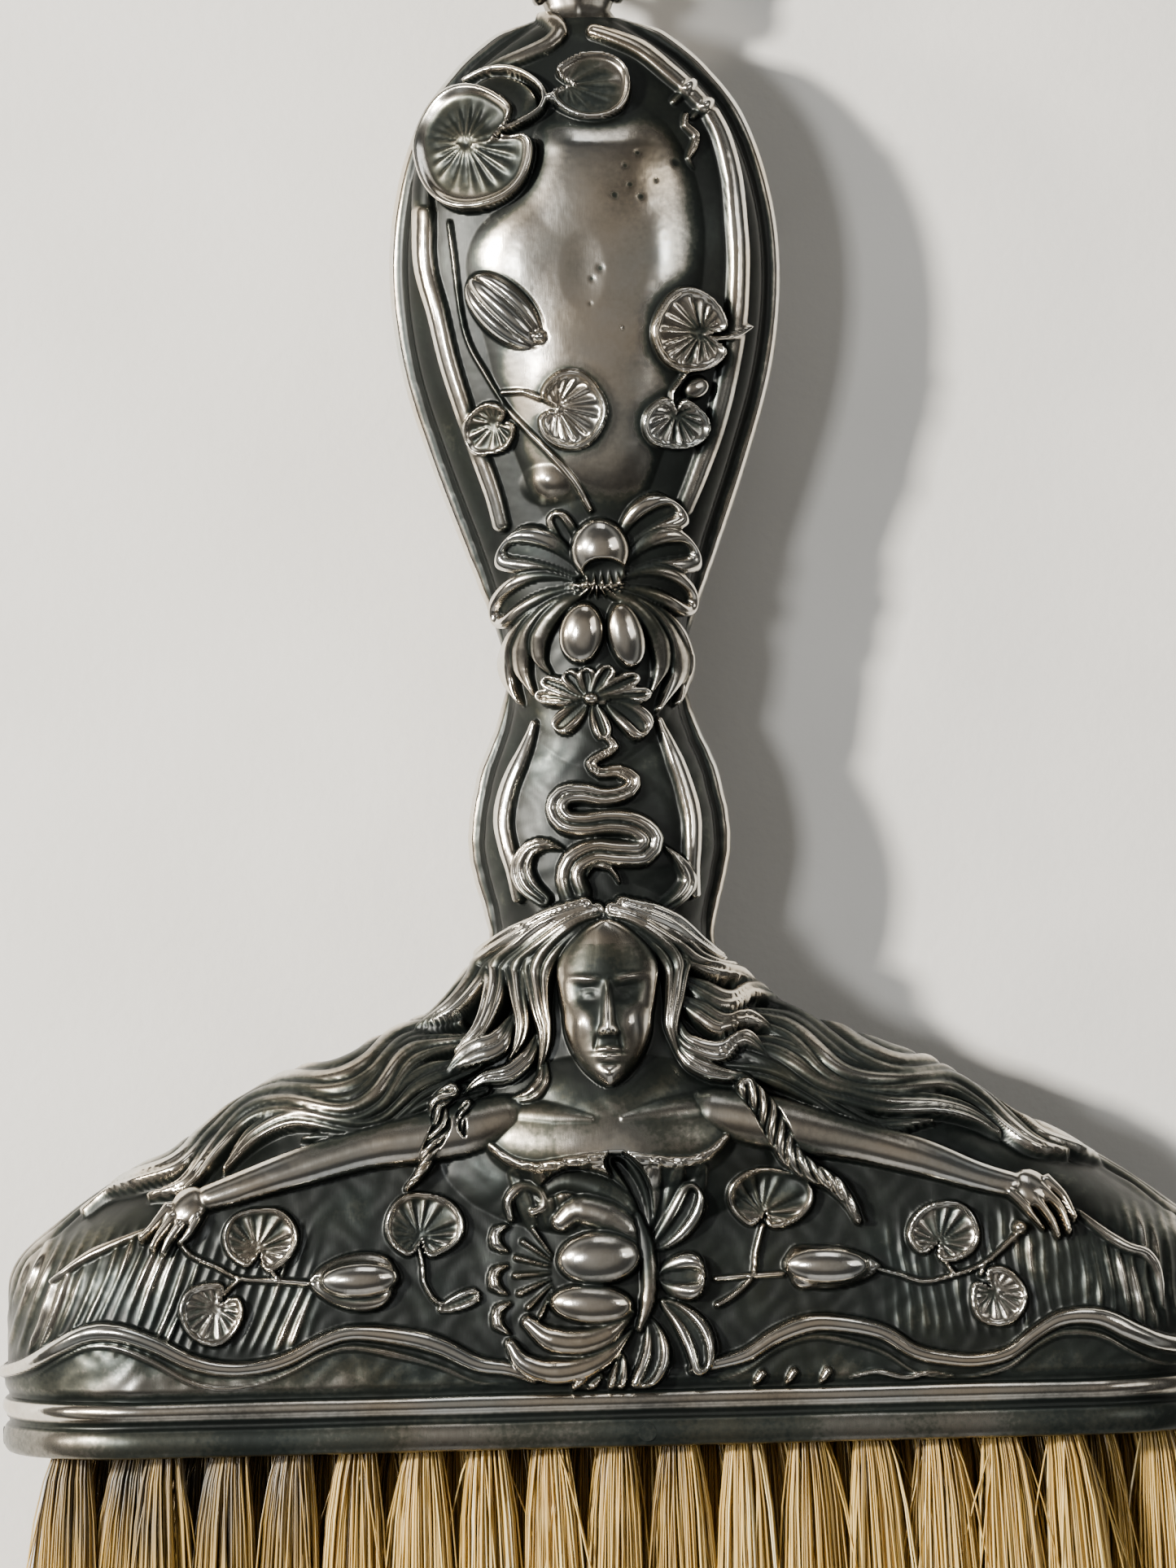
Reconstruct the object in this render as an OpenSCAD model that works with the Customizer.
// Silver whisk brush: two stamped half shells and a drawn mouth band hold a drilled wooden
// block of hand-drawn bristle tufts. A lug at the tip of the handle carries a hanging ring.
// The brush lies on its back: +X to its right, +Y to the tip of the handle, +Z out of its front.

/* [Head] */
// Length of the mouth from end to end
mouth_l = 110; // [104:1:118]
// Thickness of the mouth from front to back
mouth_t = 26; // [25:0.5:27]
// Wall of the mouth band
band_wall = 1; // [0.8:0.1:1.2]
// Height of the plain collar of the mouth band
collar_h = 2.6; // [2:0.1:3.5]
// Radius of the bead above the collar
bead_r = 1; // [0.7:0.1:1.2]

/* [Shells] */
// Sheet thickness of the stamped shells
shell_wall = 0.6; // [0.5:0.1:1]
// Inset of the shells from the outside of the mouth band
shell_inset = 0.6; // [0.3:0.1:1]
// How far the head of the figure stands out of the front shell
figure_rise = 4; // [0:0.5:5]
// How far the open flower stands out of the front shell
flower_rise = 3; // [0:0.5:4]

/* [Bristles] */
// Spacing of the tufts along a row
tuft_pitch = 5.7; // [5.4:0.1:6]
// Spacing of the rows at the face of the block
row_pitch = 4.4; // [4.2:0.1:4.6]
// Radius of a tuft in its hole
tuft_r = 1.65; // [1.4:0.05:1.8]
// Length of the bristles below the face of the block
bristle_l = 47.5; // [35:1:60]
// Angle between one row and the next
row_fan = 1.2; // [0.9:0.1:1.2]
// Depth of the holes that hold the tufts
hole_depth = 9; // [7:0.5:10]

/* [Wire and pins] */
// Radius of the draw wire
wire_r = 0.25; // [0.2:0.05:0.3]
// Radius of the holes that the wire passes through
draw_hole_r = 0.5; // [0.4:0.05:0.6]
// Radius of the pins that hold the block in the mouth band
pin_r = 0.8; // [0.6:0.1:1]
// Length of those pins
pin_l = 4.5; // [3:0.5:5]

/* [Hanging ring] */
// Radius of the middle line of the ring
ring_r = 10; // [9:0.5:12]
// Radius of the ring's wire
ring_wire_r = 0.9; // [0.7:0.1:1]
// Width of the lug
lug_w = 8.2; // [6:0.1:8.4]
// Outer radius of the lug's eye
lug_r = 2.6; // [2.5:0.1:2.8]
// Radius of the hole through the lug
lug_bore_r = 1.6; // [1.55:0.05:1.7]

/* [Hidden] */
$fn = 64;

// Heights of the mouth band, from the rim of the mouth upward
mouth_r = mouth_t / 2;
mouth_flat = mouth_l / 2 - mouth_r;
groove_h = 0.5;
groove_depth = 0.35;
band_h = collar_h + groove_h + 2 * bead_r;
seam_z = mouth_r;

// The block: a flange inside the band and a smaller body inside the shells
block_drop = -0.2;
block_top = 12.5;
block_fit = 0.1;
flange_r = mouth_r - band_wall - block_fit;
flange_top = band_h - 0.4;
body_inset = 1.6;

// Tufts in each row; the odd rows stand on the pitch and the even rows half way between
row_tufts = [15, 18, 17, 18, 15];
field_start = 5;
field_t = 4.05;
end_flare = 2.4;
tuft_spread = 0.35;

// Half-width of the silver body at each height above the rim
half_widths = [
    [0, 54.4], [band_h, 54.4], [10, 54.4], [14, 54], [17, 52.8], [20, 49.4], [24, 43.5],
    [27, 37.6], [30, 33.4], [32.5, 28], [35, 21], [38, 15.6], [41, 11], [45, 9.7],
    [53, 11.2], [59, 10.4], [64, 8.6], [68, 7.9], [72, 8.5], [78, 10.3], [88, 13.8],
    [96, 16.1], [104, 17], [111, 16.4], [118, 14.2], [122.5, 11], [125, 8.2],
    [126.4, 6], [127.3, 4.2]];
// Half-thickness of the silver body at each height above the rim
half_depths = [
    [0, 12.4], [band_h, 12.4], [12, 12.2], [20, 11.6], [28, 10.6], [36, 9.6], [44, 8.2],
    [53, 8], [60, 7.4], [68, 6.6], [76, 6.6], [88, 7.1], [104, 7.5], [113, 7.2],
    [119, 6.3], [123, 5.1], [125.4, 4], [126.6, 3.2], [127.3, 2.6]];
tip_y = half_widths[len(half_widths) - 1][0];
end_round = 13;
crown = 0.5;

// Places of the two bosses on the front: middle of the boss, then its radii along X and Y
figure_at = [0, 39];
figure_size = [6.5, 9];
flower_at = [-3, 16];
flower_size = [13, 11];

// Lofts are made of this many stations and points round half a section
station_step = 3;
section_steps = 32;
cement_steps = 14;
cement_gap = 0.15;
cement_start = block_top + 1.6;

// The ring hangs from the lug down to the surface that the brush lies on
lug_y = tip_y + 4;
ring_sag = ring_r - sqrt(ring_r * ring_r - lug_w * lug_w / 4);
ring_reach = ring_r - ring_sag / 2;
ring_far = ring_reach + ring_r;
droop = asin((seam_z - ring_wire_r) / ring_far);

// The origin is midway between the bristle tips and the far end of the ring
bristle_end = -block_drop - bristle_l;
ring_end = lug_y + ring_far * cos(droop) + ring_wire_r;
middle_y = (bristle_end + ring_end) / 2;

// Index of the stretch of a key list that holds a height
function stretch(keys, y, i = 0) =
    i >= len(keys) - 2 || y < keys[i + 1][0] ? i : stretch(keys, y, i + 1);
// Slope of the smooth curve through a key list at one of its keys
function slope(keys, i) =
    i == 0 || i == len(keys) - 1 ? 0 :
    (keys[i + 1][1] - keys[i - 1][1]) / (keys[i + 1][0] - keys[i - 1][0]);
// Value of the smooth curve between two neighbouring keys, with t from 0 to 1
function hermite(a, b, slope_a, slope_b, t) =
    let (span = b[0] - a[0])
    a[1] * (2 * t * t * t - 3 * t * t + 1) + b[1] * (3 * t * t - 2 * t * t * t)
    + span * slope_a * (t * t * t - 2 * t * t + t) + span * slope_b * (t * t * t - t * t);
// Value of the smooth curve through a key list at any height
function along(keys, y) =
    let (i = stretch(keys, y), a = keys[i], b = keys[i + 1])
    hermite(a, b, slope(keys, i), slope(keys, i + 1), (y - a[0]) / (b[0] - a[0]));

// A smooth round hill, 1 high in the middle and 0 at its edge
function hill(x, y, at, size) =
    let (d = min(1, norm([(x - at[0]) / size[0], (y - at[1]) / size[1]])))
    pow(cos(90 * d), 2);
// How far the bosses stand out of the front
function bosses(x, y) =
    figure_rise * hill(x, y, figure_at, figure_size)
    + flower_rise * hill(x, y, flower_at, flower_size);

// A point of the body's section at height y: half ellipses joined by a slightly crowned flat
function skin_point(y, angle, inset, with_bosses) =
    let (
        w = along(half_widths, y) - inset,
        d = along(half_depths, y) - inset,
        round = min(w, end_round),
        x = w * cos(angle),
        past_flat = max(0, abs(x) - w + round) / round,
        arch = angle == 0 || angle == 180 ? 0 : sqrt(max(0, 1 - pow(past_flat, 2))),
        extra = with_bosses ? bosses(x, y) : 0)
    [x, (d + (crown + extra) * sin(angle)) * arch];
// Section points from +X over the front to -X
function half_section(y, inset, with_bosses, at_y, steps = section_steps) =
    [for (k = [0:steps])
        let (p = skin_point(y, 180 * k / steps, inset, with_bosses)) [p[0], at_y, p[1]]];

// Height of a station on the inside, which stops one wall short of the tip
function inner_y(y) = y - shell_wall * (y - band_h) / (tip_y - band_h);

// Heights of the stations, closer together where the outline turns fast
function stations(from, to) =
    let (n = ceil((to - from) / station_step))
    concat([for (i = [0:n - 1]) from + (to - 4 - from) * i / n], [to - 4, to - 2.4, to - 1.2, to]);

// Faces of a closed skin over rings of n points; the first and last rings are capped
function ring_faces(rings, n) = concat(
    [for (i = [0:rings - 2], j = [0:n - 1]) for (f = [
        [i * n + j, i * n + (j + 1) % n, (i + 1) * n + (j + 1) % n],
        [i * n + j, (i + 1) * n + (j + 1) % n, (i + 1) * n + j]]) f],
    [[for (j = [n - 1:-1:0]) j]],
    [[for (j = [0:n - 1]) (rings - 1) * n + j]]);

// Half of the silver body, front up, hollow to the seam and to the mouth
module half_shell(with_bosses) {
    ys = stations(band_h, tip_y);
    m = section_steps + 1;
    count = len(ys);
    outer = [for (y = ys) half_section(y, 0, with_bosses, y)];
    inner = [for (y = ys) half_section(y, shell_wall, false, inner_y(y))];
    points = concat([for (ring = outer) each ring], [for (ring = inner) each ring]);
    far = count * m;
    skin = [for (i = [0:count - 2], j = [0:m - 2]) for (f = [
        [i * m + j, (i + 1) * m + j + 1, i * m + j + 1],
        [i * m + j, (i + 1) * m + j, (i + 1) * m + j + 1],
        [far + i * m + j, far + i * m + j + 1, far + (i + 1) * m + j + 1],
        [far + i * m + j, far + (i + 1) * m + j + 1, far + (i + 1) * m + j]]) f];
    seam = [for (i = [0:count - 2]) for (f = [
        [i * m, far + (i + 1) * m, (i + 1) * m],
        [i * m, far + i * m, far + (i + 1) * m],
        [i * m + m - 1, (i + 1) * m + m - 1, far + (i + 1) * m + m - 1],
        [i * m + m - 1, far + (i + 1) * m + m - 1, far + i * m + m - 1]]) f];
    mouth = [for (j = [0:m - 2]) for (f = [
        [j, j + 1, far + j + 1],
        [j, far + j + 1, far + j]]) f];
    last = (count - 1) * m;
    tip = [
        [for (j = [m - 1:-1:0]) last + j],
        [for (j = [0:m - 1]) far + last + j],
        [last + m - 1, last, far + last, far + last + m - 1]];
    polyhedron(points, concat(skin, seam, mouth, tip), convexity = 8);
}

// A stadium-shaped plate of the given end radius, standing from y_low to y_high
module stadium_plate(r, y_low, y_high, flat = mouth_flat) {
    translate([0, y_low, 0])
        rotate([-90, 0, 0])
            linear_extrude(y_high - y_low)
                union() {
                    square([2 * flat, 2 * r], center = true);
                    translate([-flat, 0]) circle(r);
                    translate([flat, 0]) circle(r);
                }
}

// A round bead along the stadium, with its middle line at the given end radius and height
module stadium_bead(r, y, bead) {
    for (side = [-1, 1]) {
        translate([0, y, side * r]) rotate([0, 90, 0]) cylinder(r = bead, h = 2 * mouth_flat, center = true);
        translate([side * mouth_flat, y, 0])
            rotate([-90, 0, 0])
                rotate([0, 0, side * 90 - 180])
                    rotate_extrude(angle = 180) translate([r, 0]) circle(bead);
    }
}

// Moves a piece from the height scale of the mouth to the brush's own frame
module place() {
    translate([0, -middle_y, seam_z]) children();
}

// Rows are counted from the back to the front
function row_z(i) = (i - 3) * row_pitch;
function row_angle(i) = -(i - 3) * row_fan;
function tuft_x(i, k) = (k - (row_tufts[i - 1] - 1) / 2) * tuft_pitch;

// Puts a piece at the root of a row, with -Y along its bristles
module at_row(i) {
    translate([0, -block_drop, row_z(i)]) rotate([row_angle(i), 0, 0]) children();
}

module front_shell() {
    color("silver") place() half_shell(true);
}

module back_shell() {
    color("silver") place() mirror([0, 0, 1]) half_shell(false);
}

module mouth_band() {
    color("gainsboro") place() difference() {
        union() {
            stadium_plate(mouth_r, 0, collar_h);
            stadium_plate(mouth_r - groove_depth, collar_h, collar_h + groove_h);
            stadium_plate(mouth_r - bead_r + 0.4, collar_h + groove_h, band_h);
            stadium_bead(mouth_r - bead_r, collar_h + groove_h + bead_r, bead_r);
        }
        stadium_plate(mouth_r - band_wall, -1, band_h + 1);
        pin_places() cylinder(r = pin_r, h = 3 * band_wall, center = true);
    }
}

// The four pins: front and back, each between two tufts, and the two ends of the band
module pin_places() {
    for (side = [-1, 1]) {
        translate([tuft_pitch / 2, collar_h / 2, side * mouth_r]) mirror([0, 0, side > 0 ? 0 : 1]) children();
        translate([side * mouth_l / 2, collar_h / 2, 0]) rotate([0, side * 90, 0]) children();
    }
}

module bristle_block() {
    color("saddlebrown") place() difference() {
        union() {
            stadium_plate(flange_r, -block_drop, flange_top);
            stadium_plate(flange_r - body_inset, flange_top, block_top, mouth_flat - 0.6);
        }
        for (i = [1:5], k = [0:row_tufts[i - 1] - 1]) {
            at_row(i) translate([tuft_x(i, k), -1, 0])
                rotate([-90, 0, 0]) cylinder(r = tuft_r, h = hole_depth + 1);
            at_row(i) translate([tuft_x(i, k), 0, 0])
                rotate([-90, 0, 0]) cylinder(r = draw_hole_r, h = 20, $fn = 24);
        }
        pin_places() translate([0, 0, -pin_l]) cylinder(r = pin_r, h = pin_l);
    }
}

// One row of tufts: folded roots in their holes, necks that widen, and the field they merge into
module bristle_row(i) {
    n = row_tufts[i - 1];
    reach = (n - 1) / 2 * tuft_pitch + tuft_pitch / 2;
    field_l = bristle_l / cos(row_angle(i));
    color("khaki") place() at_row(i) {
        for (k = [0:n - 1]) translate([tuft_x(i, k), 0, 0]) {
            translate([0, -1, 0]) rotate([-90, 0, 0]) cylinder(r = tuft_r, h = hole_depth + 0.5);
            rotate([90, 0, 0]) cylinder(r1 = tuft_r, r2 = tuft_r + tuft_spread, h = field_start + 1);
        }
        translate([0, 0, -field_t / 2])
            linear_extrude(field_t)
                polygon([[-reach, -field_start], [reach, -field_start],
                    [reach + end_flare, -field_l], [-reach - end_flare, -field_l]]);
    }
}

// The wire lies along the back of the block and dips into each hole to hold a folded tuft
module draw_wire(i) {
    n = row_tufts[i - 1];
    back = block_top + block_drop;
    lean = row_angle(i);
    color("peru") place() {
        at_row(i) {
            for (k = [0:n - 1]) translate([tuft_x(i, k), hole_depth - 0.5, 0])
                rotate([-90, 0, 0]) cylinder(r = wire_r, h = back / cos(lean) - hole_depth + 0.7, $fn = 24);
            translate([0, back / cos(lean) + wire_r, 0])
                rotate([0, 90, 0]) cylinder(
                    r = wire_r, h = (n - 1) * tuft_pitch + 2 * wire_r, center = true, $fn = 24);
        }
    }
}

// The cement that fills the handle and the top of the head
module handle_cement() {
    ys = stations(cement_start, tip_y - 3);
    n = 2 * cement_steps;
    rings = [for (y = ys)
        let (half = half_section(y, shell_wall + cement_gap, false, inner_y(y), cement_steps))
        concat(half, [for (k = [cement_steps - 1:-1:1]) [half[k][0], half[k][1], -half[k][2]]])];
    color("dimgray") place()
        polyhedron([for (ring = rings) each ring], ring_faces(len(ys), n), convexity = 8);
}

module collar_pins() {
    color("silver") place() pin_places() translate([0, 0, -pin_l]) cylinder(r = pin_r, h = pin_l);
}

module ring_lug() {
    color("silver") place() difference() {
        union() {
            translate([0, lug_y, 0]) rotate([0, 90, 0]) cylinder(r = lug_r, h = lug_w, center = true);
            translate([-lug_w / 2, tip_y, -lug_r]) cube([lug_w, lug_y - tip_y, 2 * lug_r]);
        }
        translate([0, lug_y, 0]) rotate([0, 90, 0]) cylinder(r = lug_bore_r, h = lug_w + 2, center = true);
    }
}

module hanging_ring() {
    color("silver") place()
        translate([0, lug_y, 0])
            rotate([-droop, 0, 0])
                translate([0, ring_reach, 0])
                    rotate_extrude() translate([ring_r, 0]) circle(ring_wire_r);
}

front_shell();
back_shell();
mouth_band();
bristle_block();
bristle_row(1);  // bristle_row_1
bristle_row(2);  // bristle_row_2
bristle_row(3);  // bristle_row_3
bristle_row(4);  // bristle_row_4
bristle_row(5);  // bristle_row_5
draw_wire(1);  // draw_wire_1
draw_wire(2);  // draw_wire_2
draw_wire(3);  // draw_wire_3
draw_wire(4);  // draw_wire_4
draw_wire(5);  // draw_wire_5
handle_cement();
collar_pins();
ring_lug();
hanging_ring();
